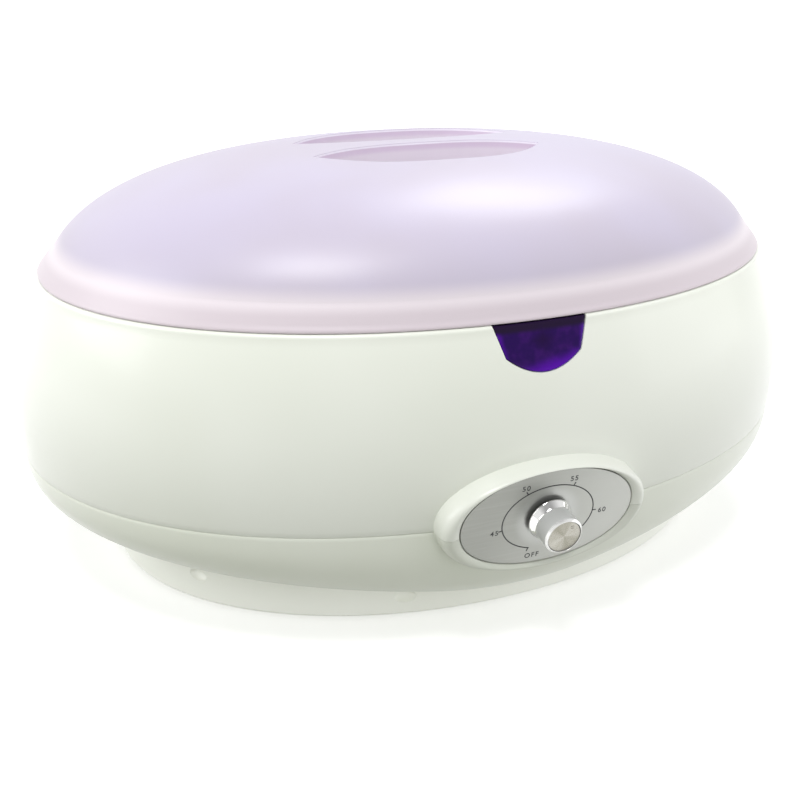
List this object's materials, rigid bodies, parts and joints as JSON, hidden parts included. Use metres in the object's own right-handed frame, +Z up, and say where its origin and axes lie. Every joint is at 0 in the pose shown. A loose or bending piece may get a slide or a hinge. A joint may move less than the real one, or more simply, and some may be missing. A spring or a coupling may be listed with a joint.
{
  "type": "paraffin wax bath",
  "caption": "Oval tabletop wax bath with a lift-off domed lid, heated aluminium pot, finger grille and a front temperature dial.",
  "frame": {"origin": "on the ground under the middle of the overall box", "axes": "+Z up, -Y towards the dial, X along the long side of the oval"},
  "size_m": [0.3938, 0.3084, 0.19],
  "materials": {
    "lid": "frosted, slightly see-through",
    "shell": "smooth white",
    "window": "deep violet, see-through",
    "silicone": "soft matt",
    "aluminium": "drawn, satin",
    "insert": "matt white",
    "heater": "rust red",
    "steel": "plated",
    "dial_plate": "fine brushed, printed scale",
    "black_plastic": "black",
    "knob_metal": "polished foot and edge, satin side",
    "spun_metal": "spun in circles",
    "board": "green laminate",
    "component": "blue",
    "red_lamp": "clear red",
    "green_lamp": "clear green",
    "rubber": "black",
    "wire": "red sleeve"
  },
  "bodies": {
    "tub": {"upper_housing": "shell", "base_housing": "shell", "window_lens": "window", "pot_seal": "silicone", "inner_pot": "aluminium", "heater_mat": "heater", "clamp_plate": "aluminium", "heat_shield": "steel", "clamp_nut_1": "steel", "clamp_nut_2": "steel", "temperature_sensor": "steel", "sensor_clip": "aluminium", "thermal_fuse": "silicone", "fuse_clip": "aluminium", "dial_plate": "dial_plate", "potentiometer_body": "steel", "potentiometer_nut": "steel", "control_board": "board", "relay": "component", "film_capacitor": "heater", "can_capacitor": "black_plastic", "board_fuse": "steel", "board_connector": "insert", "light_board": "board", "red_lamp": "red_lamp", "green_lamp": "green_lamp", "light_screw_1": "steel", "light_screw_2": "steel", "board_screw_1": "steel", "board_screw_2": "steel", "board_screw_3": "steel", "board_screw_4": "steel", "shield_screw_1": "steel", "shield_screw_2": "steel", "shield_screw_3": "steel", "shield_screw_4": "steel", "base_screw_1": "steel", "base_screw_2": "steel", "base_screw_3": "steel", "base_screw_4": "steel", "foot_1": "rubber", "foot_2": "rubber", "foot_3": "rubber", "foot_4": "rubber", "cord_gland": "black_plastic", "terminal_block": "insert", "cord_clamp": "black_plastic", "cord_clamp_screw_1": "steel", "cord_clamp_screw_2": "steel", "heater_lead": "wire", "dial_lead": "wire", "light_lead": "wire", "mains_lead": "wire", "sensor_lead": "wire"},
    "lid": {"lid": "lid"},
    "grille": {"finger_grille": "insert"},
    "knob": {"potentiometer_shaft": "aluminium", "knob_core": "black_plastic", "knob_sleeve": "knob_metal", "knob_face": "spun_metal"}
  },
  "joints": [
    {"name": "knob_turn", "type": "hinge", "parent": "tub", "child": "knob", "pos_m": [0, -0.13943, 0.0624], "axis": [0, -0.9919, -0.1271], "range_deg": [-102, 198]},
    {"name": "lid_lift", "type": "slide", "parent": "tub", "child": "lid", "axis": [0, 0, 1], "range_m": [0, 0.25]},
    {"name": "grille_lift", "type": "slide", "parent": "tub", "child": "grille", "axis": [0, 0, 1], "range_m": [0, 0.1]}
  ]
}
